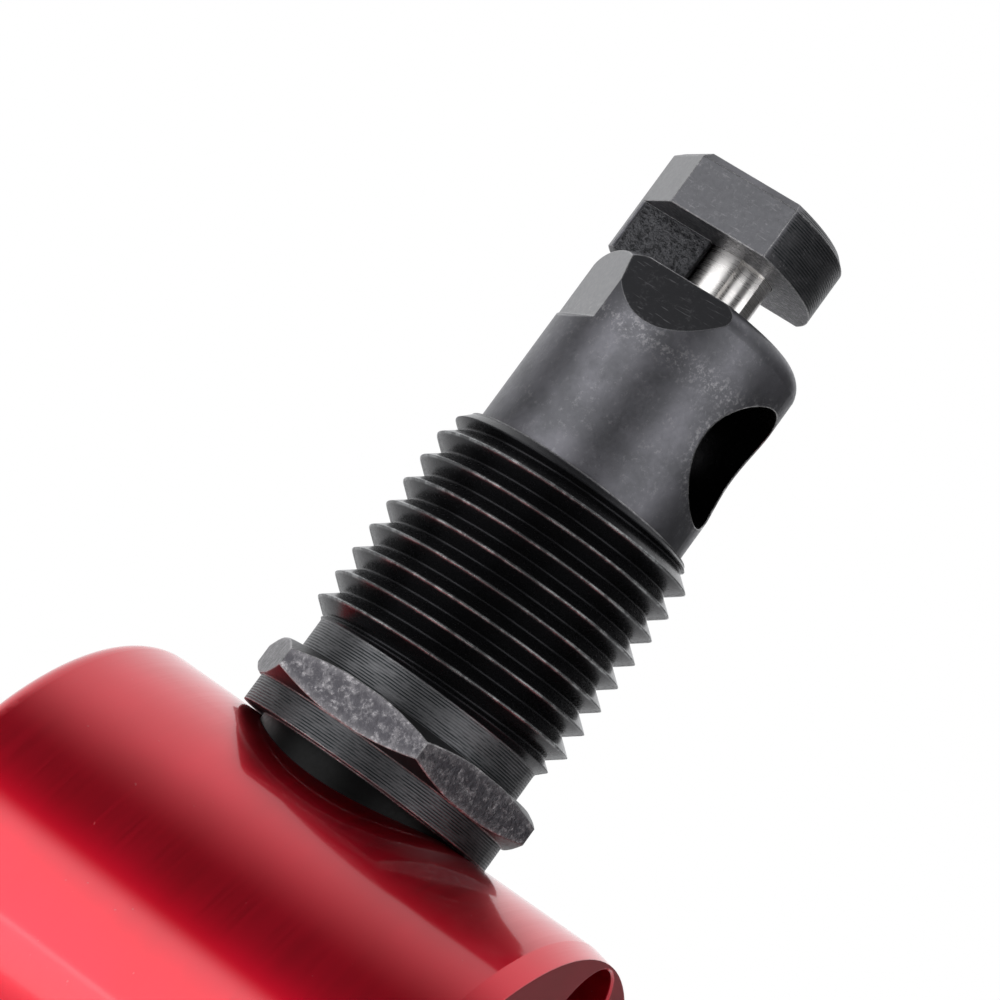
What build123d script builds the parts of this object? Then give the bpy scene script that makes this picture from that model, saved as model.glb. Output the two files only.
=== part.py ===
from build123d import *

import os
from math import cos, radians, sin

# Double-headed sheet-metal nibbler attachment for a hand drill, in millimetres.
# Origin: on the drive line, midway along the part of the shank that a chuck grips.
# +X runs along the drive line to the closed front face, +Z runs up the upper head.

# ---------------------------------------------------------------- driving dimensions
head_x = 38.0  # the two heads stand on this cross axis

drum_radius = 15.8
drum_back = head_x - 13.3
drum_front = head_x + 16.6
drum_back_round = 1.2
front_band = 1.3  # the narrow bevel round the front edge
front_band_drop = 0.25

cover_neck_radius = 8.3
cover_flange_radius = 13.9
cover_flange_thickness = 2.5  # the flange is let into the back of the drum
cover_back = drum_back - 11.0
cover_screw_circle = 11.3
cover_screw_count = 3
cover_screw_radius = 1.25
cover_screw_head_radius = 2.0
cover_screw_head_height = 2.0
cover_screw_length = 6.0
cover_screw_socket = (1.15, 1.4)  # corner radius and depth of the hex socket
bush_outer = 6.0
bush_front = drum_back - 2.6
seal_front = cover_back + 2.6
seal_back = cover_back + 0.2
seal_waist = 4.9
seal_gap = 0.04  # the lip is drawn just clear of the shaft that turns in it
cover_relief_radius = 7.1  # clears the front bearing's clip
cover_edge_bevel = 0.8

shank_radius = 4.0
shank_start = -12.0
shank_end = 12.0
shank_lead = 1.0
relief_radius = 3.6

bearing_outer = 8.0
bearing_width = 5.0
bearing_back = head_x - 12.4
bearing_front = bearing_back + bearing_width
outer_ring_bore = 6.9
inner_ring_outer = 5.1
cage_inner = 5.6
cage_outer = 6.4
cage_half_width = 1.9
ball_circle = 6.0
ball_radius = 1.2
ball_count = 9
ball_clearance = 0.04

crank_throw = 1.8
crank_flange_radius = 6.0
crank_flange_face = head_x - 6.65
crank_pin_radius = 1.6
crank_pin_end = head_x + 6.3
roller_radius = 2.5
roller_back = head_x - 5.6
roller_length = 10.75
roller_clip_back = head_x + 5.25
roller_clip_width = 0.5
roller_clip_outer = 2.3
roller_groove_radius = 1.3
shaft_clip_width = 0.8
shaft_clip_outer = 5.0
shaft_groove_radius = 3.7
crank_room_radius = 6.6  # bore round the crank flange, open to the cross bore
pin_room_radius = 4.8  # bore ahead of the cross bore, where the crank pin's end swings
pin_room_front = head_x + 7.5

cross_bore_radius = 6.4
plunger_radius = 6.35
plunger_half_length = 7.5
plunger_boss_radius = 3.8
plunger_end = 10.7
window_half_width = crank_throw + roller_radius + 0.2
window_half_height = 2 * crank_throw + roller_radius + 0.2
button_radius = 2.6
button_height = 1.4
button_low = 8.4  # underside of a punch's button, measured from the plunger's middle

running = 0.05  # radial clearance of a shaft that turns or slides

punch_radius = 1.975
punch_tip = 51.6
punch_edge = 49.5  # the cutting shoulder above the flute, at the top of the stroke
flute_low = 43.2
flute_radius = 1.03
flute_centre = 2.45  # from the punch's axis
flute_facing = -50.0  # degrees round from the drive line's front

collar_radius = 7.64
collar_low = 15.85
hex_across_flats = 15.5
hex_low = 17.4
hex_high = 19.6
hex_corner_drop = 0.62  # how far the cone bevel comes down a corner
neck_radius = 6.83
thread_low = 21.4
thread_high = 34.75
thread_pitch = 1.5
thread_root_radius = 6.84
thread_crest_radius = 7.71
tip_radius = 6.40
slot_low = 46.35
slot_high = 49.45
spine_front = -1.5  # front of the web that carries the head, just behind the punch
spine_half_width = 1.9  # narrower than the punch, so it follows through the kerf
head_top = 52.9
head_top_bevel = 0.45
head_half_width = 4.95
nose_x = 4.3
nose_shoulder_x = 2.6
facet_distance = 5.79
facet_angle = 50.0
facet_low = 42.0
scoop_low = 43.0
rim_radial = 0.9  # the die's rim is rounded over, this much in and this much down
rim_axial = 1.6
rim_shoulder = (0.24, 0.55)  # how far the round stays inside the corner, midway
chip_hole_radius = 3.65
chip_hole_height = 40.2
chip_hole_depth = 3.2  # how far past the head's axis the chip hole is drilled

die_shank_low = 9.6
lock_height = 12.0
lock_groove = (10.2, 13.8, 5.4)
lock_screw_radius = 3.3
lock_screw_tip = head_x + 5.5
lock_screw_end = head_x + 14.4
lock_screw_mouth_bevel = 0.1
dog_radius = 1.7
dog_length = 1.5
lock_socket = (2.3, 3.5)  # corner radius and depth of the hex socket
counterbore_radius = 4.2
guide_bush_low = 14.2
guide_bush_high = 20.2
guide_bush_outer = 3.2
clearance_bore_radius = 2.6
clearance_bore_length = 11.0
head_wall = 1.0  # steel left above the blind end of the punch's bore

cover_screw_back = drum_back - cover_screw_head_height
cover_flange_front = drum_back + cover_flange_thickness
cover_screw_end = cover_screw_back + cover_screw_head_height + cover_screw_length

drive_line = Axis.X
head_line = Axis((head_x, 0, 0), (0, 0, 1))
# Section plane through both lines: local x is along the drive line, local y is up.
section = Plane.XZ
head_section = Plane(origin=(head_x, 0, 0), x_dir=(1, 0, 0), z_dir=(0, -1, 0))


def outline(points, plane):
    """A closed flat face through the points, on the given plane."""
    with BuildSketch(plane) as face:
        with BuildLine():
            Polyline(*points, close=True)
        make_face()
    return face.sketch


def ring_outline(start, end, inner, outer):
    """Section of a plain ring round the drive line, from x start to x end."""
    corners = [(start, inner), (end, inner), (end, outer), (start, outer)]
    return outline(corners, section)


def at(x):
    """Plane square to the drive line at x, facing the front."""
    return Plane(origin=(x, 0, 0), x_dir=(0, 1, 0), z_dir=(1, 0, 0))


# ---------------------------------------------------------------- housing
# Red anodised drum, closed at the front, with one cross bore for both heads.
with BuildPart() as housing:
    revolve(
        profiles=outline(
            [
                (drum_back, 0),
                (drum_front, 0),
                (drum_front, drum_radius - front_band_drop),
                (drum_front - front_band, drum_radius),
                (drum_back, drum_radius),
            ],
            section,
        ),
        axis=drive_line,
    )
    fillet(
        housing.edges().filter_by(GeomType.CIRCLE).sort_by(Axis.X)[0],
        radius=drum_back_round,
    )
    # Stepped bore from the back: bearing seat, crank flange room, then crank pin room.
    revolve(
        profiles=outline(
            [
                (drum_back, 0),
                (drum_back, cover_flange_radius + 0.02),
                (cover_flange_front, cover_flange_radius + 0.02),
                (cover_flange_front, bearing_outer),
                (bearing_front, bearing_outer),
                (bearing_front, crank_room_radius),
                (head_x, crank_room_radius),
                (head_x, pin_room_radius),
                (pin_room_front, pin_room_radius),
                (pin_room_front, 0),
            ],
            section,
        ),
        axis=drive_line,
        mode=Mode.SUBTRACT,
    )
    with Locations((head_x, 0, 0)):
        Cylinder(cross_bore_radius, 2 * drum_radius + 2, mode=Mode.SUBTRACT)
    # Threaded holes for the head lock screws, from the front face to the cross bore.
    with BuildSketch(at(head_x)):
        with Locations((0, lock_height), (0, -lock_height)):
            Circle(lock_screw_radius)
    extrude(amount=drum_front - head_x, mode=Mode.SUBTRACT)
    front_mouths = housing.edges().filter_by(GeomType.CIRCLE).group_by(Axis.X)[-1]
    screw_mouths = front_mouths.filter_by(lambda e: abs(e.radius - lock_screw_radius) < 0.01)
    chamfer(screw_mouths, lock_screw_mouth_bevel)
    # Threaded holes for the rear cover's screws.
    with BuildSketch(at(drum_back)):
        with PolarLocations(cover_screw_circle, cover_screw_count, start_angle=90):
            Circle(cover_screw_radius)
    extrude(amount=cover_screw_end - drum_back, mode=Mode.SUBTRACT)
housing.part.label = "housing"

# ---------------------------------------------------------------- rear cover
# Its flange is let into the drum and holds the front bearing down; its neck carries
# the rear bush and the seal.
with BuildPart() as rear_cover:
    revolve(
        profiles=outline(
            [
                (cover_back, bush_outer),
                (bush_front, bush_outer),
                (bush_front, cover_relief_radius),
                (bearing_back, cover_relief_radius),
                (bearing_back, bearing_outer),
                (cover_flange_front, bearing_outer),
                (cover_flange_front, cover_flange_radius),
                (drum_back, cover_flange_radius),
                (drum_back, cover_neck_radius),
                (cover_back + cover_edge_bevel, cover_neck_radius),
                (cover_back, cover_neck_radius - cover_edge_bevel),
            ],
            section,
        ),
        axis=drive_line,
    )
    with BuildSketch(at(drum_back)):
        with PolarLocations(cover_screw_circle, cover_screw_count, start_angle=90):
            Circle(cover_screw_radius + 0.1)
    extrude(amount=cover_flange_thickness, mode=Mode.SUBTRACT)
rear_cover.part.label = "rear_cover"

# Socket cap screws that hold the cover to the drum.
with BuildPart() as rear_cover_screws:
    with BuildSketch(at(cover_screw_back)):
        with PolarLocations(cover_screw_circle, cover_screw_count, start_angle=90):
            Circle(cover_screw_head_radius)
    extrude(amount=cover_screw_head_height)
    with BuildSketch(at(cover_screw_back + cover_screw_head_height)):
        with PolarLocations(cover_screw_circle, cover_screw_count, start_angle=90):
            Circle(cover_screw_radius)
    extrude(amount=cover_screw_length)
    with BuildSketch(at(cover_screw_back)):
        with PolarLocations(cover_screw_circle, cover_screw_count, start_angle=90):
            RegularPolygon(cover_screw_socket[0], 6)
    extrude(amount=cover_screw_socket[1], mode=Mode.SUBTRACT)
rear_cover_screws.part.label = "rear_cover_screws"

# Set screws that lock each head: a dog point rides in the groove of the head's shank.
with BuildPart() as lock_screws:
    with BuildSketch(at(lock_screw_tip)):
        with Locations((0, lock_height), (0, -lock_height)):
            Circle(dog_radius)
    extrude(amount=dog_length)
    with BuildSketch(at(lock_screw_tip + dog_length)):
        with Locations((0, lock_height), (0, -lock_height)):
            Circle(lock_screw_radius)
    extrude(amount=lock_screw_end - lock_screw_tip - dog_length)
    with BuildSketch(at(lock_screw_end - lock_socket[1])):
        with Locations((0, lock_height), (0, -lock_height)):
            RegularPolygon(lock_socket[0], 6)
    extrude(amount=lock_socket[1], mode=Mode.SUBTRACT)
lock_screws.part.label = "lock_screws"

# ---------------------------------------------------------------- front bearing
raceway_radius = ball_radius + ball_clearance
bearing_middle = bearing_back + bearing_width / 2
groove_torus = Torus(ball_circle, raceway_radius, mode=Mode.PRIVATE)
groove_torus = groove_torus.rotate(Axis.Y, 90).moved(Location((bearing_middle, 0, 0)))
ball_centres = [
    (
        bearing_middle,
        ball_circle * cos(radians(360 / ball_count * i)),
        ball_circle * sin(radians(360 / ball_count * i)),
    )
    for i in range(ball_count)
]

with BuildPart() as front_bearing_outer:
    revolve(
        profiles=ring_outline(bearing_back, bearing_front, outer_ring_bore, bearing_outer),
        axis=drive_line,
    )
    add(groove_torus, mode=Mode.SUBTRACT)
front_bearing_outer.part.label = "front_bearing_outer"

with BuildPart() as front_bearing_inner:
    revolve(
        profiles=ring_outline(bearing_back, bearing_front, shank_radius, inner_ring_outer),
        axis=drive_line,
    )
    add(groove_torus, mode=Mode.SUBTRACT)
front_bearing_inner.part.label = "front_bearing_inner"

with BuildPart() as front_bearing_balls:
    with Locations(*ball_centres):
        Sphere(ball_radius)
front_bearing_balls.part.label = "front_bearing_balls"

with BuildPart() as front_bearing_cage:
    revolve(
        profiles=ring_outline(
            bearing_middle - cage_half_width,
            bearing_middle + cage_half_width,
            cage_inner,
            cage_outer,
        ),
        axis=drive_line,
    )
    with Locations(*ball_centres):
        Sphere(ball_radius + ball_clearance, mode=Mode.SUBTRACT)
front_bearing_cage.part.label = "front_bearing_cage"

# ---------------------------------------------------------------- rear bush and seal
with BuildPart() as rear_bush:
    revolve(
        profiles=ring_outline(seal_front, bush_front, shank_radius + running, bush_outer),
        axis=drive_line,
    )
rear_bush.part.label = "rear_bush"

# Rubber seal: a ring with a lip that leans out towards the shank's free end.
with BuildPart() as shaft_seal:
    revolve(
        profiles=outline(
            [
                (seal_back, bush_outer),
                (seal_front, bush_outer),
                (seal_front, seal_waist),
                (seal_back + 1.2, seal_waist),
                (seal_back + 0.6, shank_radius + seal_gap),
                (seal_back + 0.2, shank_radius + seal_gap),
                (seal_back, seal_waist - 0.3),
            ],
            section,
        ),
        axis=drive_line,
    )
shaft_seal.part.label = "shaft_seal"

# ---------------------------------------------------------------- drive shaft
# One turned piece: shank for the drill's chuck, journal, crank flange and crank pin.
shaft_clip_back = bearing_back - shaft_clip_width
with BuildPart() as drive_shaft:
    revolve(
        profiles=outline(
            [
                (shank_start, 0),
                (shank_start, shank_radius - shank_lead),
                (shank_start + shank_lead, shank_radius),
                (shank_end, shank_radius),
                (shank_end, relief_radius),
                (shank_end + 1.0, relief_radius),
                (shank_end + 1.0, shank_radius),
                (shaft_clip_back, shank_radius),
                (shaft_clip_back, shaft_groove_radius),
                (bearing_back, shaft_groove_radius),
                (bearing_back, shank_radius),
                (bearing_front, shank_radius),
                (bearing_front, crank_flange_radius),
                (crank_flange_face, crank_flange_radius),
                (crank_flange_face, 0),
            ],
            section,
        ),
        axis=drive_line,
    )
    with BuildSketch(at(crank_flange_face)):
        with Locations((0, crank_throw)):
            Circle(crank_pin_radius)
    extrude(amount=crank_pin_end - crank_flange_face)
    # Groove near the pin's end for the roller's clip.
    with BuildSketch(at(roller_clip_back)):
        with Locations((0, crank_throw)):
            Circle(crank_pin_radius + 0.5)
            Circle(roller_groove_radius, mode=Mode.SUBTRACT)
    extrude(amount=roller_clip_width, mode=Mode.SUBTRACT)
drive_shaft.part.label = "drive_shaft"

with BuildPart() as shaft_circlip:
    with BuildSketch(at(shaft_clip_back)):
        Circle(shaft_clip_outer)
        Circle(shaft_groove_radius, mode=Mode.SUBTRACT)
        with Locations((0, shaft_clip_outer)):
            Rectangle(1.6, 4.0, mode=Mode.SUBTRACT)
    extrude(amount=shaft_clip_width)
shaft_circlip.part.label = "shaft_circlip"

with BuildPart() as crank_roller:
    with BuildSketch(at(roller_back)):
        with Locations((0, crank_throw)):
            Circle(roller_radius)
            Circle(crank_pin_radius + running, mode=Mode.SUBTRACT)
    extrude(amount=roller_length)
crank_roller.part.label = "crank_roller"

with BuildPart() as roller_clip:
    with BuildSketch(at(roller_clip_back)):
        with Locations((0, crank_throw)):
            Circle(roller_clip_outer)
            Circle(roller_groove_radius, mode=Mode.SUBTRACT)
        with Locations((0, crank_throw + roller_clip_outer)):
            Rectangle(1.4, 2.6, mode=Mode.SUBTRACT)
    extrude(amount=roller_clip_width)
roller_clip.part.label = "roller_clip"

# ---------------------------------------------------------------- plunger
# Slides in the cross bore, driven by the crank roller in its window; it is drawn at
# the top of its stroke. A T-slot in each end boss takes the button of a punch.
plunger_middle = crank_throw
plunger_boss_length = plunger_end - plunger_half_length
with BuildPart() as plunger:
    with Locations((head_x, 0, plunger_middle)):
        Cylinder(plunger_radius, 2 * plunger_half_length)
        Cylinder(plunger_boss_radius, 2 * plunger_end)
    with BuildSketch(at(head_x - 8)):
        with Locations((0, plunger_middle)):
            RectangleRounded(2 * window_half_width, 2 * window_half_height, 1.2)
    extrude(amount=16, mode=Mode.SUBTRACT)
    for side in (1, -1):
        slot_middle = plunger_middle + side * (button_low + button_height / 2)
        neck_middle = plunger_middle + side * (plunger_end - 0.5)
        # Each slot is a round seat with a straight way in from the -Y side.
        with Locations((head_x, 0, slot_middle)):
            Cylinder(button_radius + 0.1, button_height + 0.2, mode=Mode.SUBTRACT)
        with Locations((head_x, -5.0, slot_middle)):
            Box(2 * button_radius + 0.2, 10.0, button_height + 0.2, mode=Mode.SUBTRACT)
        with Locations((head_x, 0, neck_middle)):
            Cylinder(punch_radius + 0.1, 3.0, mode=Mode.SUBTRACT)
        with Locations((head_x, -5.0, neck_middle)):
            Box(2 * punch_radius + 0.2, 10.0, 3.0, mode=Mode.SUBTRACT)
plunger.part.label = "plunger"


# ---------------------------------------------------------------- punches
def punch(low, tip, edge, flute):
    """A round punch with a button foot and a chip flute below its cutting edge."""
    with BuildPart() as blank:
        with Locations((head_x, 0, low + button_height / 2)):
            Cylinder(button_radius, button_height)
        with BuildSketch(Plane.XY.offset(low)):
            with Locations((head_x, 0)):
                Circle(punch_radius)
        extrude(amount=tip - low)
        chamfer(blank.edges().filter_by(GeomType.CIRCLE).sort_by(Axis.Z)[-1], 0.2)
        facing = radians(flute_facing)
        centre = (head_x + flute_centre * cos(facing), flute_centre * sin(facing))
        with BuildSketch(Plane.XY.offset(flute)):
            with Locations(centre):
                Circle(flute_radius)
        extrude(amount=edge - flute, mode=Mode.SUBTRACT)
    return blank.part


with BuildPart() as upper_punch:
    add(punch(plunger_middle + button_low, punch_tip, punch_edge, flute_low))
upper_punch.part.label = "upper_punch"

# The lower punch is the same piece, turned over and drawn back by the full stroke.
stroke = 2 * crank_throw
with BuildPart() as lower_punch:
    drawn_back = punch(plunger_middle + button_low, punch_tip, punch_edge, flute_low)
    add(drawn_back.rotate(Axis.X, 180).moved(Location((0, 0, stroke))))
lower_punch.part.label = "lower_punch"


# ---------------------------------------------------------------- die holders
def thread_ridge():
    """Right-hand thread ridge, faded out by a cone at each end."""
    overrun = 0.9 * thread_pitch
    with BuildLine() as path:
        Helix(
            thread_pitch,
            thread_high - thread_low + 2 * overrun,
            thread_root_radius,
            center=(head_x, 0, thread_low - overrun),
        )
    spiral = path.wires()[0]
    depth = thread_crest_radius - thread_root_radius
    half = 0.48 * thread_pitch
    flat = 0.07
    with BuildSketch(Plane(origin=spiral @ 0, x_dir=(1, 0, 0), z_dir=spiral % 0)) as tooth:
        with BuildLine():
            Polyline(
                (-0.35, -half - 0.02),
                (0, -half),
                (depth - flat, -flat),
                (depth, 0),
                (depth - flat, flat),
                (0, half),
                (-0.35, half + 0.02),
                close=True,
            )
        make_face()
    low = thread_low + 0.05
    high = thread_high - 0.05
    fade = 0.9
    root = thread_root_radius - 0.02
    with BuildPart() as ridge:
        sweep(tooth.sketch, path=spiral, is_frenet=True)
        envelope = outline(
            [
                (0, low),
                (root, low),
                (thread_crest_radius, low + fade),
                (thread_crest_radius, high - fade),
                (root, high),
                (0, high),
            ],
            head_section,
        )
        revolve(profiles=envelope, axis=head_line, mode=Mode.INTERSECT)
    return ridge.part


def nose_face():
    """Plan shape of the head: flat sides, and a nose that bulges to the front."""
    with BuildSketch() as plan:
        with BuildLine():
            Polyline(
                (head_x + nose_shoulder_x, head_half_width),
                (head_x - 8, head_half_width),
                (head_x - 8, -head_half_width),
                (head_x + nose_shoulder_x, -head_half_width),
            )
            ThreePointArc(
                (head_x + nose_shoulder_x, -head_half_width),
                (head_x + nose_x, 0),
                (head_x + nose_shoulder_x, head_half_width),
            )
        make_face()
    return plan.sketch


def rim_waste():
    """Section of the steel cut away to round the die's rim."""
    shoulder_in, shoulder_down = rim_shoulder
    with BuildSketch(head_section) as waste:
        with BuildLine():
            ThreePointArc(
                (tip_radius, slot_low - rim_axial),
                (tip_radius - shoulder_in, slot_low - shoulder_down),
                (tip_radius - rim_radial, slot_low),
            )
            Polyline(
                (tip_radius - rim_radial, slot_low),
                (tip_radius - rim_radial, slot_low + 0.1),
                (tip_radius + 1, slot_low + 0.1),
                (tip_radius + 1, slot_low - rim_axial),
                (tip_radius, slot_low - rim_axial),
            )
        make_face()
    return waste.sketch


def die_holder():
    """Black-oxide die holder, upright: shank, collar, hex, thread, tip and anvil head."""
    groove_low, groove_high, groove_radius = lock_groove
    hex_corner_radius = hex_across_flats / 2 / cos(radians(30))
    with BuildPart() as holder:
        revolve(
            profiles=outline(
                [
                    (0, die_shank_low),
                    (plunger_radius, die_shank_low),
                    (plunger_radius, groove_low),
                    (groove_radius, groove_low),
                    (groove_radius, groove_high),
                    (plunger_radius, groove_high),
                    (plunger_radius, collar_low),
                    (collar_radius, collar_low),
                    (collar_radius, hex_low),
                    (neck_radius, hex_low),
                    (neck_radius, thread_low),
                    (thread_root_radius, thread_low),
                    (thread_root_radius, thread_high),
                    (tip_radius, thread_high),
                    (tip_radius, head_top),
                    (0, head_top),
                ],
                head_section,
            ),
            axis=head_line,
        )
        # Rounded rim of the die, cut before the slot so the head above stays whole.
        revolve(profiles=rim_waste(), axis=head_line, mode=Mode.SUBTRACT)
        # Work slot, open to the front and both sides; a narrow spine carries the head.
        with BuildSketch(Plane.XY.offset(slot_low)):
            with Locations((head_x, 0)):
                Circle(tip_radius + 1)
            with Locations((head_x + spine_front, 0)):
                Rectangle(
                    tip_radius + 2,
                    2 * spine_half_width,
                    align=(Align.MAX, Align.CENTER),
                    mode=Mode.SUBTRACT,
                )
        extrude(amount=slot_high - slot_low, mode=Mode.SUBTRACT)
        # Plan shape of the head, above the middle of the slot.
        slot_middle = (slot_low + slot_high) / 2
        with BuildSketch(Plane.XY.offset(slot_middle)):
            with Locations((head_x, 0)):
                Circle(tip_radius + 1)
            add(nose_face(), mode=Mode.SUBTRACT)
        extrude(amount=head_top - slot_middle, mode=Mode.SUBTRACT)
        # Scoops: the side flats run on below the slot and lean out to the full round.
        for side in (1, -1):
            with BuildSketch(Plane.YZ.offset(head_x - 10)):
                with BuildLine():
                    Polyline(
                        (side * (tip_radius + 0.02), scoop_low),
                        (side * head_half_width, slot_low),
                        (side * head_half_width, slot_middle + 0.1),
                        (side * (tip_radius + 2), slot_middle + 0.1),
                        (side * (tip_radius + 2), scoop_low),
                        close=True,
                    )
                make_face()
            extrude(amount=20, mode=Mode.SUBTRACT)
        # Two flat facets at the back, each run out at its foot by a sloping cut.
        for side in (1, -1):
            lean = radians(facet_angle)
            outward = (-sin(lean), side * cos(lean), 0)
            facet = Plane(origin=(head_x, 0, facet_low), x_dir=(0, 0, 1), z_dir=outward)
            with BuildSketch(facet.offset(facet_distance)):
                Rectangle(head_top - facet_low + 1, 8, align=(Align.MIN, Align.CENTER))
            extrude(amount=3, taper=-40, mode=Mode.SUBTRACT)
        chamfer(holder.faces().sort_by(Axis.Z)[-1].edges(), head_top_bevel)
        # Thin hex for a spanner, its corners bevelled on both faces by a cone.
        with BuildSketch(Plane.XY.offset(hex_low)):
            with Locations((head_x, 0)):
                RegularPolygon(hex_corner_radius, 6)
        extrude(amount=hex_high - hex_low)
        bevel_spans = [
            (hex_low, hex_low + hex_corner_drop),
            (hex_high, hex_high - hex_corner_drop),
        ]
        for start, end in bevel_spans:
            bevel_ring = outline(
                [
                    (hex_across_flats / 2 + 0.05, start),
                    (hex_corner_radius + 0.05, end),
                    (hex_corner_radius + 1, end),
                    (hex_corner_radius + 1, start),
                ],
                head_section,
            )
            revolve(profiles=bevel_ring, axis=head_line, mode=Mode.SUBTRACT)
        add(thread_ridge())
        # Inside: counterbore over the plunger's boss, bush seat, and the punch's way up.
        with BuildSketch(Plane.XY.offset(die_shank_low)):
            with Locations((head_x, 0)):
                Circle(counterbore_radius)
        extrude(amount=guide_bush_low - die_shank_low, mode=Mode.SUBTRACT)
        with BuildSketch(Plane.XY.offset(guide_bush_low)):
            with Locations((head_x, 0)):
                Circle(guide_bush_outer)
        extrude(amount=guide_bush_high - guide_bush_low, mode=Mode.SUBTRACT)
        with BuildSketch(Plane.XY.offset(guide_bush_high)):
            with Locations((head_x, 0)):
                Circle(clearance_bore_radius)
        extrude(amount=clearance_bore_length, mode=Mode.SUBTRACT)
        with BuildSketch(Plane.XY.offset(guide_bush_high)):
            with Locations((head_x, 0)):
                Circle(punch_radius + running)
        extrude(amount=head_top - head_wall - guide_bush_high, mode=Mode.SUBTRACT)
        # Chip hole, from the front past the punch.
        with BuildSketch(at(head_x - chip_hole_depth)):
            with Locations((0, chip_hole_height)):
                Circle(chip_hole_radius)
        extrude(amount=12, mode=Mode.SUBTRACT)
    return holder.part


upright_holder = die_holder()

with BuildPart() as upper_die_holder:
    add(upright_holder)
upper_die_holder.part.label = "upper_die_holder"

with BuildPart() as lower_die_holder:
    add(upright_holder.rotate(Axis.X, 180))
lower_die_holder.part.label = "lower_die_holder"

# Bronze bushes that guide the punches where they enter the die holders.
with BuildPart() as upper_guide_bush:
    with BuildSketch(Plane.XY.offset(guide_bush_low)):
        with Locations((head_x, 0)):
            Circle(guide_bush_outer)
            Circle(punch_radius + running, mode=Mode.SUBTRACT)
    extrude(amount=guide_bush_high - guide_bush_low)
upper_guide_bush.part.label = "upper_guide_bush"

with BuildPart() as lower_guide_bush:
    add(upper_guide_bush.part.rotate(Axis.X, 180))
lower_guide_bush.part.label = "lower_guide_bush"

# ---------------------------------------------------------------- write the pieces
os.makedirs("parts", exist_ok=True)
pieces = [
    housing,
    rear_cover,
    rear_cover_screws,
    lock_screws,
    front_bearing_outer,
    front_bearing_inner,
    front_bearing_balls,
    front_bearing_cage,
    rear_bush,
    shaft_seal,
    drive_shaft,
    shaft_circlip,
    crank_roller,
    roller_clip,
    plunger,
    upper_punch,
    lower_punch,
    upper_die_holder,
    lower_die_holder,
    upper_guide_bush,
    lower_guide_bush,
]
for piece in pieces:
    export_step(piece.part, f"parts/{piece.part.label}.step")
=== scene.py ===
# %% [markdown]
# # A drill-driven sheet-metal nibbler
# The tool is a short red anodised drum with a black steel die head standing out of its
# side. The solid model already holds every size. This file gives the surfaces their
# finish, adds the small marks that machining and use leave, and sets up the studio.

# %% Load the fixed frame
import math
from types import SimpleNamespace

import bpy
from mathutils import Matrix, Vector


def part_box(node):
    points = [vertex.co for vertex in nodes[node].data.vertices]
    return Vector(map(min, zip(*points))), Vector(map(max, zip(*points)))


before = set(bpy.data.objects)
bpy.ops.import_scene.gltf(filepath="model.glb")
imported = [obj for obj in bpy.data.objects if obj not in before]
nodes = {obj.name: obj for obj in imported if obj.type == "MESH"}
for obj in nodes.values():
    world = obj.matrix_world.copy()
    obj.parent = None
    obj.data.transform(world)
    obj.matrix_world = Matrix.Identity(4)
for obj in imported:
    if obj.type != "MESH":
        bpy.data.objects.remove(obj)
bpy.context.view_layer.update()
MM = 0.001
print("pieces in the frame:", len(nodes))

# %% [markdown]
# The head's own axis is upright, and everything on the head is placed by its height up
# that axis. The axis is read off the round guide bush's box, half its width in from its edge.

# %% Find the head's axis
GUIDE_BUSH_RADIUS = 3.2 * MM
HEAD_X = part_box("upper_guide_bush")[0].x + GUIDE_BUSH_RADIUS
HEAD_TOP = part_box("upper_die_holder")[1].z
print("head axis at x =", round(HEAD_X / MM, 2), "mm, top at", round(HEAD_TOP / MM, 2))

# %% [markdown]
# ## Camera
# A product close-up is shot with a long lens from about arm's length, turned a little
# round the drum's front and slightly below the head. Here the camera is also rolled, so
# the head leans to the right across the frame. A long lens keeps the thread's turns
# parallel. The camera's three axes are built by hand, because a roll is easier to read
# as two tilted axes than as Euler angles.

# %% Set up the camera
AZIMUTH, ELEVATION, ROLL = math.radians(22.5), math.radians(-7.3), math.radians(36.2)
DISTANCE = 200.5 * MM
towards_camera = Vector(
    (
        math.sin(AZIMUTH) * math.cos(ELEVATION),
        -math.cos(AZIMUTH) * math.cos(ELEVATION),
        math.sin(ELEVATION),
    )
)
level_right = Vector((math.cos(AZIMUTH), math.sin(AZIMUTH), 0))
level_up = towards_camera.cross(level_right)
camera_right = level_right * math.cos(ROLL) + level_up * math.sin(ROLL)
camera_up = level_up * math.cos(ROLL) - level_right * math.sin(ROLL)
AIM_HEIGHT, AIM_LEFT = 32.0 * MM, 3.02 * MM
look_at = Vector((HEAD_X, 0, AIM_HEIGHT)) - level_right * AIM_LEFT

camera_data = bpy.data.cameras.new("camera")
camera_data.sensor_width = 36
camera_data.lens = 138.6
camera_data.clip_start = 0.01
camera = bpy.data.objects.new("camera", camera_data)
bpy.context.scene.collection.objects.link(camera)
turn = Matrix((camera_right, camera_up, towards_camera)).transposed().to_4x4()
camera.matrix_world = Matrix.Translation(look_at + towards_camera * DISTANCE) @ turn
bpy.context.scene.camera = camera
print("camera at", [round(c, 4) for c in camera.location])

# %% [markdown]
# ## A bench for node trees
# The studio and every finish are built from the same few calls: arithmetic, soft steps
# and bands, and masks multiplied together or laid over each other.


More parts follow.
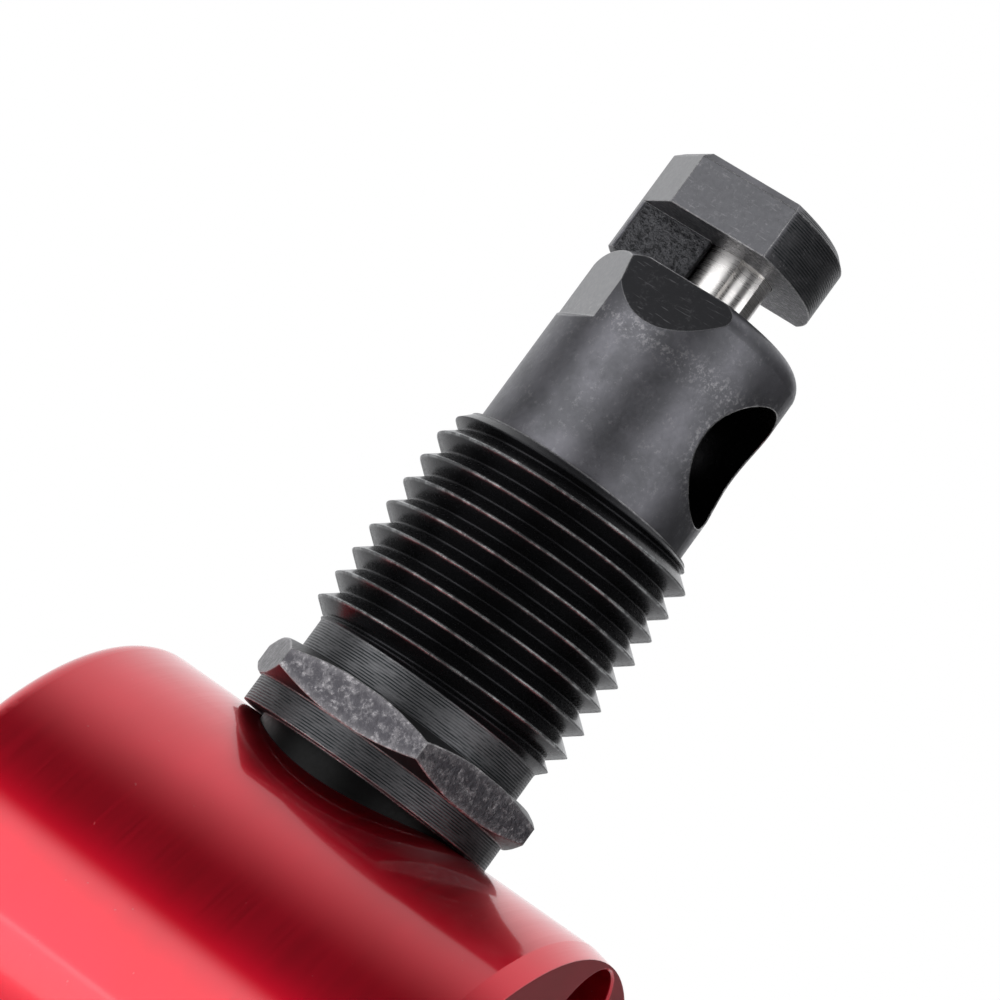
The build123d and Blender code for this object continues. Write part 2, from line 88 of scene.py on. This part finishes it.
# %% Bench: short calls for building a node tree
class Bench:
    """A node tree, with short calls for the nodes used most."""

    def __init__(self, tree):
        self.tree = tree

    def node(self, kind, **settings):
        made = self.tree.nodes.new(kind)
        for key, value in settings.items():
            setattr(made, key, value)
        return made

    def link(self, source, target):
        self.tree.links.new(source, target)

    def feed(self, target, value):
        if hasattr(value, "links"):
            self.link(value, target)
        else:
            target.default_value = value

    def calc(self, operation, *values):
        made = self.node("ShaderNodeMath", operation=operation)
        for target, value in zip(made.inputs, values):
            self.feed(target, value)
        return made.outputs[0]

    def both(self, *masks):
        product = masks[0]
        for mask in masks[1:]:
            product = self.calc("MULTIPLY", product, mask)
        return product

    def either(self, *masks):
        largest = masks[0]
        for mask in masks[1:]:
            largest = self.calc("MAXIMUM", largest, mask)
        return largest

    def flip(self, mask):
        return self.calc("SUBTRACT", 1.0, mask)

    def ramp(self, value, start, end, low=0.0, high=1.0):
        made = self.node("ShaderNodeMapRange", interpolation_type="SMOOTHSTEP")
        self.feed(made.inputs["Value"], value)
        made.inputs["From Min"].default_value = start
        made.inputs["From Max"].default_value = end
        made.inputs["To Min"].default_value = low
        made.inputs["To Max"].default_value = high
        return made.outputs["Result"]

    def band(self, value, start, end, soft):
        rise = self.ramp(value, start - soft, start + soft)
        fall = self.ramp(value, end - soft, end + soft, 1.0, 0.0)
        return self.both(rise, fall)

    def parts(self, vector):
        made = self.node("ShaderNodeSeparateXYZ")
        self.link(vector, made.inputs[0])
        return made.outputs


# %% [markdown]
# ## Studio
# The background is pure white to the lens. Polished metal shows what stands round it, so
# everything else sees a studio: two tall soft boxes in front, left and right of the lens
# with a dark gap between them, and a pale cloth hung over the top and down the back. The
# gap above the front boxes puts the dark band along the drum.
#
# Directions are angles in degrees: turn_round goes from the near side round to the drum's
# front face, rise goes up from level, and over_top goes up the near side, over, and down
# the far side. Each soft box is a soft-edged window in turn_round and rise.

# %% White background, soft boxes round the tool
bpy.context.scene.view_settings.view_transform = "Standard"
world = bpy.data.worlds.new("studio")
bpy.context.scene.world = world
world.use_nodes = True
world.node_tree.nodes.clear()
studio = Bench(world.node_tree)
x, y, z = studio.parts(studio.node("ShaderNodeTexCoord").outputs["Generated"])
DEGREES = 180 / math.pi
BOX_GLOW = 2.1
front = studio.calc("MULTIPLY", y, -1.0)
turn_round = studio.calc("MULTIPLY", studio.calc("ARCTAN2", x, front), DEGREES)
rise = studio.calc("MULTIPLY", studio.calc("ARCSINE", z), DEGREES)
over_top = studio.calc("MULTIPLY", studio.calc("ARCTAN2", z, front), DEGREES)
left_box = studio.both(studio.band(turn_round, -56, -6, 5), studio.band(rise, -50, 28, 4))
right_box = studio.both(studio.band(turn_round, 40, 84, 7), studio.band(rise, -50, 36, 6))
cloth = studio.ramp(over_top, 58, 98)
dark_corner = studio.both(studio.band(turn_round, 92, 172, 8), studio.ramp(rise, 60, 35))
cloth = studio.both(cloth, studio.flip(dark_corner))
glow = studio.calc("MULTIPLY_ADD", left_box, BOX_GLOW, 0.07)
glow = studio.calc("MULTIPLY_ADD", right_box, 1.7, glow)
glow = studio.calc("MULTIPLY_ADD", cloth, 1.0, glow)
seen = studio.node("ShaderNodeBackground")
seen.inputs["Color"].default_value = (1, 1, 1, 1)
seen.inputs["Strength"].default_value = 1.0
around = studio.node("ShaderNodeBackground")
around.inputs["Color"].default_value = (0.98, 0.985, 1.0, 1)
studio.link(glow, around.inputs["Strength"])
chosen = studio.node("ShaderNodeMixShader")
studio.link(studio.node("ShaderNodeLightPath").outputs["Is Camera Ray"], chosen.inputs[0])
studio.link(around.outputs[0], chosen.inputs[1])
studio.link(seen.outputs[0], chosen.inputs[2])
studio.link(chosen.outputs[0], studio.node("ShaderNodeOutputWorld").inputs["Surface"])
print("studio nodes:", len(world.node_tree.nodes))

# %% [markdown]
# The floor hides the lower half of the left box, so a flat lamp of the same brightness
# stands on the floor there, and carries the box on downwards in the drum's reflection.

# %% Low lamp under the left box
LAMP_TURN, LAMP_DISTANCE, LAMP_HEIGHT = math.radians(-31), 0.27, -0.041
lamp_light = bpy.data.lights.new("low_box", "AREA")
lamp_light.shape = "RECTANGLE"
lamp_light.size, lamp_light.size_y = 0.26, 0.072
lamp_light.energy = BOX_GLOW * math.pi * lamp_light.size * lamp_light.size_y
low_lamp = bpy.data.objects.new("low_box", lamp_light)
bpy.context.scene.collection.objects.link(low_lamp)
lamp_way = Vector((math.sin(LAMP_TURN), -math.cos(LAMP_TURN), 0))
lamp_place = Vector((HEAD_X, 0, LAMP_HEIGHT)) + lamp_way * LAMP_DISTANCE
lamp_facing = lamp_way.to_track_quat("Z", "Y").to_matrix().to_4x4()
low_lamp.matrix_world = Matrix.Translation(lamp_place) @ lamp_facing
print("low lamp at", [round(c, 3) for c in lamp_place])

# %% [markdown]
# ## A finish
# A finish reads its place in the piece's own space, in millimetres, so a scratch or a
# turning mark has its true size and stays put when the piece swivels. It can also tell
# how near an edge is: it compares the face's own normal with the rounded one.


# %% Finish: a material built step by step
class Finish(Bench):
    """One material, with the calls that only a surface needs."""

    def __init__(self, name, slot_colour, metallic, roughness):
        self.material = bpy.data.materials.new(name)
        self.material.use_nodes = True
        super().__init__(self.material.node_tree)
        self.shader = self.tree.nodes["Principled BSDF"]
        self.shader.inputs["Base Color"].default_value = (*slot_colour, 1)
        self.shader.inputs["Metallic"].default_value = metallic
        self.shader.inputs["Roughness"].default_value = roughness
        self.place = self.node("ShaderNodeTexCoord")
        scaled = self.node("ShaderNodeVectorMath", operation="SCALE")
        scaled.inputs["Scale"].default_value = 1 / MM
        self.link(self.place.outputs["Object"], scaled.inputs[0])
        self.mm = scaled.outputs["Vector"]

    def edge(self, reach):
        """A mask that rises towards an edge, and the normal rounded over it."""
        rounded = self.node("ShaderNodeBevel", samples=6)
        rounded.inputs["Radius"].default_value = reach * MM
        own = self.node("ShaderNodeNewGeometry")
        agree = self.node("ShaderNodeVectorMath", operation="DOT_PRODUCT")
        self.link(rounded.outputs["Normal"], agree.inputs[0])
        self.link(own.outputs["Normal"], agree.inputs[1])
        mask = self.ramp(agree.outputs["Value"], 0.985, 0.93)
        return mask, rounded.outputs["Normal"]

    def noise(self, size, detail=3.0, roughness=0.6, stretch=(1, 1, 1)):
        """Noise whose blobs are about size millimetres across, longer by stretch."""
        spread = self.node("ShaderNodeVectorMath", operation="MULTIPLY")
        self.link(self.mm, spread.inputs[0])
        spread.inputs[1].default_value = [1 / (size * s) for s in stretch]
        made = self.node("ShaderNodeTexNoise")
        made.inputs["Scale"].default_value = 1.0
        made.inputs["Detail"].default_value = detail
        made.inputs["Roughness"].default_value = roughness
        self.link(spread.outputs["Vector"], made.inputs["Vector"])
        return made.outputs["Fac"]

    def blend(self, factor, first, second):
        made = self.node("ShaderNodeMix", data_type="RGBA")
        self.feed(made.inputs[0], factor)
        for target, value in ((made.inputs[6], first), (made.inputs[7], second)):
            self.feed(target, value if hasattr(value, "links") else (*value, 1))
        return made.outputs[2]

    def bump(self, height, strength, depth, after=None):
        made = self.node("ShaderNodeBump")
        made.inputs["Strength"].default_value = strength
        made.inputs["Distance"].default_value = depth * MM
        self.feed(made.inputs["Height"], height)
        if after is not None:
            self.link(after, made.inputs["Normal"])
        return made.outputs["Normal"]

    def use(self, **sockets):
        for name, value in sockets.items():
            target = self.shader.inputs[name.replace("_", " ")]
            self.feed(target, value)
        return self.material


def dress(material, *names):
    """Give these CAD nodes one material in every slot."""
    for name in names:
        slots = nodes[name].data.materials
        slots.clear()
        slots.append(material)
    print(material.name, "on", len(names), "pieces")


# %% [markdown]
# ## Red anodised aluminium
# The drum is turned, polished, dyed red and sealed. The dye lies in a clear oxide layer over
# bright metal, so it is a red metal under a thin gloss coat: the coat gives the pink and grey
# sheen where the surface turns away. The lathe leaves very fine rings round the drum's axis, and
# dust and tiny pits show in the gloss. Its edges are painted a paler pink, a painted highlight.


# %% Make the red anodised finish
def red_anodised():
    finish = Finish("red_anodised", (0.52, 0.004, 0.022), 1.0, 0.36)
    cloud = finish.noise(9.0, 2.0)
    deep, bright = (0.60, 0.001, 0.016), (0.68, 0.002, 0.022)
    colour = finish.blend(finish.ramp(cloud, 0.3, 0.7), deep, bright)
    rings = finish.noise(0.16, 2.0, 0.7, stretch=(1, 60, 60))
    grain = finish.noise(0.10, 2.0, 0.5)
    specks = finish.ramp(finish.noise(0.30, 1.0, 0.4), 0.78, 0.83)
    edge, rounded = finish.edge(0.15)
    turned = finish.bump(rings, 0.03, 0.008, after=rounded)
    normal = finish.bump(grain, 0.03, 0.008, after=turned)
    rough = finish.ramp(rings, 0.2, 0.8, 0.34, 0.40)
    rough = finish.calc("ADD", rough, finish.both(specks, 0.2))
    colour = finish.blend(finish.both(specks, 0.35), colour, (0.60, 0.20, 0.22))
    # Painted highlight: the edges are mixed a quarter of the way towards pale pink.
    colour = finish.blend(finish.both(edge, 0.25), colour, (0.80, 0.25, 0.28))
    finish.use(Base_Color=colour, Roughness=rough, Normal=normal)
    return finish.use(Coat_Weight=0.9, Coat_Roughness=0.09, Coat_IOR=1.6)


dress(red_anodised(), "housing", "rear_cover")

# %% [markdown]
# ## Black oxide on turned and milled steel
# The die heads are turned from bar, then milled, then blacked in a hot salt bath. The black is
# thin, so it keeps every tool mark: rings on the collar, the undercut and the nose, a dull scoop
# beside the slot, and brighter steel wherever an edge has been rubbed, such as the thread's crests
# and the hex. The brightening along edges is also partly a painted highlight, and the shank under
# the collar and the chip hole are painted near black as painted shade. One material does all of
# it, with a mask for each place worked out from the distance to the head's axis and the height.

# %% [markdown]
# The masks need the head's real sizes: the heights up its axis at which one surface ends
# and the next begins, and the radii of the turned parts. Heights are taken without their
# sign, so the same masks serve the upper head and the lower one.

# %% Heights up the head and radii about its axis, in millimetres
COLLAR_FOOT, COLLAR_RADIUS = 15.85, 7.64
HEX_FOOT, HEX_TOP = 17.4, 19.6
HEX_CONE_RADIUS, HEX_CONE_SLOPE = 7.8, 0.517  # where the cone bevel starts, its drop per mm
NECK_RADIUS = 6.83
THREAD_FOOT, THREAD_TOP, CREST_RADIUS = 21.45, 34.7, 7.71
HOLE_HEIGHT, HOLE_RADIUS = 40.2, 3.65
FACET_FOOT, SCOOP_FOOT = 42.0, 43.0
SLOT_FLOOR, SLOT_ROOF = 46.35, 49.45
RING_PITCH = 0.15  # how far the turning tool moves on at each turn
print("slot height", round(SLOT_ROOF - SLOT_FLOOR, 2), "mm")
print("thread length", round(THREAD_TOP - THREAD_FOOT, 2), "mm")

# %% [markdown]
# Height and radius alone tell the collar from the hex and the thread. Where they can't,
# the way a face points settles it: the hex's flats are upright, its bevels are not.


# %% Find each kind of surface on the head
def head_places(finish):
    """A mask for each place on a die head, and the values that they come from."""
    x, y, z = finish.parts(finish.mm)
    across = finish.calc("SUBTRACT", x, HEAD_X / MM)
    side = finish.calc("ABSOLUTE", y)
    height = finish.calc("ABSOLUTE", z)
    radius = finish.calc("ADD", finish.both(across, across), finish.both(y, y))
    radius = finish.calc("SQRT", radius)
    faces_x, faces_y, faces_z = finish.parts(finish.place.outputs["Normal"])
    level = finish.calc("ABSOLUTE", faces_z)
    sideways = finish.calc("ABSOLUTE", faces_y)

    def between(low, high, soft):
        return finish.band(height, low, high, soft)

    def outside(inner, outer):
        return finish.ramp(radius, inner, outer)

    thread = finish.both(between(THREAD_FOOT, THREAD_TOP, 0.1), outside(6.3, 6.5))
    past_collar = outside(COLLAR_RADIUS + 0.02, COLLAR_RADIUS + 0.08)
    hexagon = finish.both(between(HEX_FOOT, HEX_TOP, 0.01), past_collar)
    hex_flat = finish.both(hexagon, finish.ramp(level, 0.15, 0.3, 1.0, 0.0))
    on_collar = outside(COLLAR_RADIUS - 0.14, COLLAR_RADIUS - 0.04)
    collar = finish.both(between(COLLAR_FOOT - 0.05, HEX_FOOT, 0.02), on_collar)
    on_neck = outside(NECK_RADIUS - 0.13, NECK_RADIUS - 0.03)
    undercut = finish.both(between(HEX_TOP, THREAD_FOOT, 0.02), on_neck)
    tip = finish.ramp(height, THREAD_TOP, THREAD_TOP + 0.2)
    above_slot = finish.ramp(height, SLOT_ROOF - 0.02, SLOT_ROOF + 0.05)
    nose = finish.both(above_slot, finish.ramp(across, 2.55, 2.8))
    side_flat = finish.both(above_slot, finish.ramp(sideways, 0.9, 0.97), finish.flip(nose))
    roof = between(SLOT_ROOF - 0.1, SLOT_ROOF + 0.1, 0.05)
    underside = finish.both(roof, finish.ramp(level, 0.9, 0.97))
    scoop = finish.both(finish.band(level, 0.33, 0.47, 0.03), finish.ramp(sideways, 0.85, 0.9))
    scoop = finish.both(scoop, between(SCOOP_FOOT - 0.2, SLOT_FLOOR + 0.05, 0.05))
    spine = finish.both(between(SLOT_FLOOR, SLOT_ROOF - 0.03, 0.03), outside(6.2, 6.0))
    facet = finish.both(finish.band(faces_x, -0.80, -0.73, 0.02), finish.ramp(level, 0.05, 0.02))
    facet = finish.both(facet, finish.ramp(height, FACET_FOOT - 0.2, FACET_FOOT))
    up_hole = finish.calc("SUBTRACT", height, HOLE_HEIGHT)
    from_hole = finish.calc("ADD", finish.both(up_hole, up_hole), finish.both(side, side))
    from_hole = finish.calc("SQRT", from_hole)
    in_hole = finish.ramp(from_hole, HOLE_RADIUS + 0.07, HOLE_RADIUS + 0.01)
    # The inside of the chip hole; its near-black tone further down is painted shade.
    chip_hole = finish.both(in_hole, tip, finish.ramp(across, -3.4, -3.1))
    near_hole = finish.ramp(from_hole, HOLE_RADIUS + 0.85, HOLE_RADIUS + 0.01)
    hole_rim = finish.both(near_hole, tip, finish.ramp(across, 0, 1))
    turned = finish.either(collar, undercut, nose)
    # Painted shadow: the shank just under the collar, where the collar's shade falls.
    painted_shadow_under_collar = finish.ramp(height, COLLAR_FOOT - 0.01, COLLAR_FOOT - 0.05)
    cone = finish.calc("SUBTRACT", HEX_CONE_RADIUS, radius)
    cone = finish.calc("MULTIPLY", cone, HEX_CONE_SLOPE)
    above_cone = finish.calc("ADD", finish.calc("SUBTRACT", height, HEX_FOOT), cone)
    below_cone = finish.calc("ADD", finish.calc("SUBTRACT", HEX_TOP, height), cone)
    hex_border = finish.ramp(finish.calc("MINIMUM", above_cone, below_cone), 0.50, 0.0)
    return SimpleNamespace(
        height=height,
        radius=radius,
        thread=thread,
        hexagon=hexagon,
        hex_flat=hex_flat,
        hex_border=hex_border,
        collar=collar,
        undercut=undercut,
        tip=tip,
        nose=nose,
        side_flat=side_flat,
        underside=underside,
        scoop=scoop,
        spine=spine,
        facet=facet,
        chip_hole=chip_hole,
        hole_rim=hole_rim,
        turned=turned,
        painted_shadow_under_collar=painted_shadow_under_collar,
    )

# %% [markdown]
# Nothing on a blacked head is quite even. The marks are noise at several sizes, from a
# fine grain to broad stains. The turning rings are a sine wave up the axis, and a slow
# noise bends them a little.


# %% Make the marks that tools and use leave
def head_marks(finish, on):
    """Noise at the scales of grain, pits, speckle, scuff, stain and turning rings."""
    scratch = finish.noise(0.09, 2.0, 0.6, stretch=(14, 14, 1.2))
    edge, rounded = finish.edge(0.14)
    # A turning tool leaves a groove at each turn, and each groove holds a darker line.
    wander = finish.calc("MULTIPLY_ADD", finish.noise(3.0, 1.0), 0.10, on.height)
    rings = finish.calc("SINE", finish.calc("MULTIPLY", wander, 2 * math.pi / RING_PITCH))
    rings = finish.calc("MULTIPLY_ADD", rings, 0.5, 0.5)
    line_breaks = finish.ramp(finish.noise(0.5, 3.0, 0.6, stretch=(3, 3, 1)), 0.35, 0.6)
    return SimpleNamespace(
        grain=finish.noise(0.22, 4.0, 0.65),
        pits=finish.noise(0.30, 3.0, 0.7),
        blotch=finish.noise(2.4, 3.0, 0.55),
        speckle=finish.ramp(finish.noise(0.26, 5.0, 0.8), 0.50, 0.62),
        scuff=finish.ramp(finish.noise(0.7, 6.0, 0.8), 0.47, 0.60),
        scratch=finish.ramp(scratch, 0.62, 0.72),
        breaks=finish.ramp(finish.noise(1.1, 5.0, 0.75), 0.46, 0.58),
        edge=edge,
        rounded=rounded,
        rings=rings,
        groove=finish.both(finish.ramp(rings, 0.55, 0.15), on.turned, line_breaks),
    )

# %% [markdown]
# The black takes differently on each kind of cut, so every place has its own tone. Two entries are
# painted shade instead: the shank under the collar and the inside of the chip hole are near black.
# Each is laid over the ones before, so where two masks meet the later one shows.


# %% Colour the oxide, place by place
def oxide_colour(finish, on, marks):
    """The blacked steel's colour at each place before any wear, plus painted shade under the
    collar and inside the chip hole.
    """
    light_stain, dark_stain = (0.155, 0.153, 0.168), (0.098, 0.098, 0.106)
    colour = finish.blend(finish.ramp(marks.blotch, 0.3, 0.75), dark_stain, light_stain)
    place_tones_and_shade = (
        (on.thread, (0.022, 0.022, 0.024)),
        (on.collar, (0.080, 0.080, 0.084)),
        (on.undercut, (0.110, 0.110, 0.115)),
        (on.scoop, (0.062, 0.062, 0.067)),
        (finish.either(on.spine, on.nose), (0.062, 0.062, 0.066)),
        (on.side_flat, (0.105, 0.105, 0.112)),
        (on.facet, (0.26, 0.26, 0.265)),
        (on.hexagon, (0.045, 0.045, 0.047)),
        (on.hex_flat, (0.072, 0.069, 0.077)),
        # Painted shadow: the shank under the collar is near black.
        (on.painted_shadow_under_collar, (0.004, 0.004, 0.004)),
        # Painted shade: the inside of the chip hole is near black.
        (on.chip_hole, (0.006, 0.006, 0.007)),
    )
    for place, tone in place_tones_and_shade:
        colour = finish.blend(place, colour, tone)
    return colour

# %% [markdown]
# Wear is laid on last, because it lies on top of every tone. It is broken up by the same noise as
# the rest, so that no rubbed line is even from end to end. The brightening along edges is partly
# wear and partly a painted highlight.


# %% Rub the oxide through to the steel
def oxide_wear(finish, on, marks, colour):
    """Lays rubbed steel with a painted edge highlight, pits and dark lines in the tool grooves
    over the oxide's colour.
    """
    hex_wear = finish.both(on.hex_border, finish.calc("MULTIPLY_ADD", marks.scuff, 0.6, 0.35))
    hex_wear = finish.either(hex_wear, finish.both(marks.scuff, 0.55))
    spotted = finish.calc("MULTIPLY_ADD", marks.speckle, 0.65, 0.35)
    hex_wear = finish.both(on.hex_flat, hex_wear, spotted)
    rubbed_foot = finish.either(finish.band(on.height, 41.9, 43.0, 0.7), on.hole_rim)
    rubbed_foot = finish.either(rubbed_foot, finish.both(marks.scuff, 0.35))
    pale = finish.both(on.tip, marks.speckle, rubbed_foot, 0.50)
    pale = finish.either(pale, finish.both(marks.scratch, on.scoop, 0.35))
    pale = finish.either(pale, finish.both(marks.scratch, on.side_flat, 0.22))
    pale = finish.either(pale, finish.both(on.underside, marks.speckle, 0.55))
    pale = finish.both(pale, finish.flip(on.chip_hole))
    on_crest = finish.ramp(on.radius, CREST_RADIUS - 0.15, CREST_RADIUS - 0.05)
    crest_breaks = finish.calc("MULTIPLY_ADD", marks.breaks, 0.55, 0.30)
    crest = finish.both(on.thread, on_crest, crest_breaks)
    # Edges away from the thread and spine: rubbed steel and also a painted highlight, mixed
    # towards pale grey.
    edge_wear_and_highlight = finish.both(marks.edge, finish.flip(finish.either(on.thread, on.spine)))
    edge_wear_and_highlight = finish.both(edge_wear_and_highlight, finish.calc("MULTIPLY_ADD", marks.scuff, 0.5, 0.4))
    pit = finish.both(on.spine, finish.ramp(marks.pits, 0.50, 0.40), 0.6)
    wear = (
        (hex_wear, (0.50, 0.48, 0.49)),
        (pale, (0.42, 0.41, 0.42)),
        (pit, (0.010, 0.010, 0.011)),
        (finish.both(marks.groove, 0.95), (0.008, 0.012, 0.013)),
        (crest, (0.36, 0.37, 0.37)),
        (edge_wear_and_highlight, (0.62, 0.61, 0.61)),
    )
    for place, tone in wear:
        colour = finish.blend(place, colour, tone)
    return colour

# %% [markdown]
# The places, marks and colours now make one material. Its relief is three bumps, one
# over another, each with a depth of its own.


# %% Make the black oxide finish
def black_oxide():
    finish = Finish("black_oxide", (0.05, 0.05, 0.055), 0.85, 0.42)
    on = head_places(finish)
    marks = head_marks(finish, on)
    colour = oxide_wear(finish, on, marks, oxide_colour(finish, on, marks))

    # Relief: turning rings, pits in the milled places, and a fine grain all over.
    ring_relief = finish.both(marks.rings, on.turned)
    ringed = finish.bump(ring_relief, 0.5, 0.03, after=marks.rounded)
    rugged = finish.either(on.spine, finish.both(on.underside, 0.8))
    rugged = finish.either(rugged, finish.both(on.hex_flat, 0.35))
    pitted = finish.bump(finish.both(marks.pits, rugged), 0.9, 0.16, after=ringed)
    normal = finish.bump(marks.grain, 0.16, 0.03, after=pitted)
    glossy = finish.both(finish.either(on.thread, on.chip_hole), 0.16)
    rough = finish.calc("SUBTRACT", finish.ramp(marks.grain, 0.2, 0.8, 0.34, 0.46), glossy)
    return finish.use(Base_Color=colour, Roughness=rough, Normal=normal)


dress(black_oxide(), "upper_die_holder", "lower_die_holder")

# %% [markdown]
# ## Bright steel, bronze, screws and rubber
# The punches are ground bright. The shaft is turned and ground, the screws are blacked,
# the bushes are oily sintered bronze, and the seal is matt rubber.


# %% Make the ground and turned metals
def turned_metal(name, colour, roughness, ring_size, along, metallic=1.0):
    """A metal with fine tool rings, and a few dull stains and specks."""
    finish = Finish(name, colour, metallic, roughness)
    stretch = {"X": (1, 60, 60), "Z": (60, 60, 1)}[along]
    rings = finish.noise(ring_size, 2.0, 0.6, stretch=stretch)
    stain = finish.ramp(finish.noise(1.8, 3.0), 0.35, 0.75)
    specks = finish.ramp(finish.noise(0.3, 2.0, 0.5), 0.70, 0.76)
    dull = tuple(c * 0.72 for c in colour)
    tone = finish.blend(stain, colour, dull)
    tone = finish.blend(finish.both(specks, 0.7), tone, tuple(c * 0.35 for c in colour))
    rough = finish.ramp(rings, 0.2, 0.8, roughness, roughness + 0.1)
    return finish.use(Base_Color=tone, Roughness=rough, Normal=finish.bump(rings, 0.12, 0.01))


dress(
    turned_metal("punch_steel", (0.72, 0.70, 0.68), 0.24, 0.06, "Z"),
    "upper_punch",
    "lower_punch",
)
dress(turned_metal("shaft_steel", (0.50, 0.50, 0.51), 0.28, 0.12, "X"), "drive_shaft", "plunger")
dress(
    turned_metal("bearing_steel", (0.66, 0.66, 0.67), 0.15, 0.10, "X"),
    "front_bearing_outer",
    "front_bearing_inner",
    "front_bearing_balls",
    "crank_roller",
)
dress(
    turned_metal("spring_steel", (0.10, 0.10, 0.11), 0.35, 0.10, "X"),
    "shaft_circlip",
    "roller_clip",
)
dress(
    turned_metal("screw_steel", (0.035, 0.035, 0.038), 0.36, 0.12, "X"),
    "rear_cover_screws",
    "lock_screws",
)
dress(
    turned_metal("bronze", (0.45, 0.27, 0.12), 0.42, 0.15, "X"),
    "rear_bush",
    "front_bearing_cage",
    "upper_guide_bush",
    "lower_guide_bush",
)
dress(turned_metal("seal_rubber", (0.02, 0.02, 0.02), 0.62, 0.25, "X", metallic=0.0), "shaft_seal")

# %% [markdown]
# ## Floor
# A plain pale floor well below the tool. It lies outside the main view, and gives the
# other views something to stand over.

# %% Lay the floor
floor_half = 1.5
floor_drop = -0.075
floor_mesh = bpy.data.meshes.new("floor")
floor_corners = [
    (x * floor_half, y * floor_half, floor_drop) for x, y in ((-1, -1), (1, -1), (1, 1), (-1, 1))
]
floor_mesh.from_pydata(floor_corners, [], [(0, 1, 2, 3)])
floor = bpy.data.objects.new("floor", floor_mesh)
bpy.context.scene.collection.objects.link(floor)
floor_paint = Finish("floor_paint", (0.9, 0.9, 0.9), 0.0, 0.6)
soft_cloud = floor_paint.ramp(floor_paint.noise(60.0, 2.0), 0.3, 0.7)
floor_tone = floor_paint.blend(soft_cloud, (0.86, 0.86, 0.86), (0.9, 0.9, 0.9))
floor_mesh.materials.append(floor_paint.use(Base_Color=floor_tone))
print("floor at", floor_drop / MM, "mm")
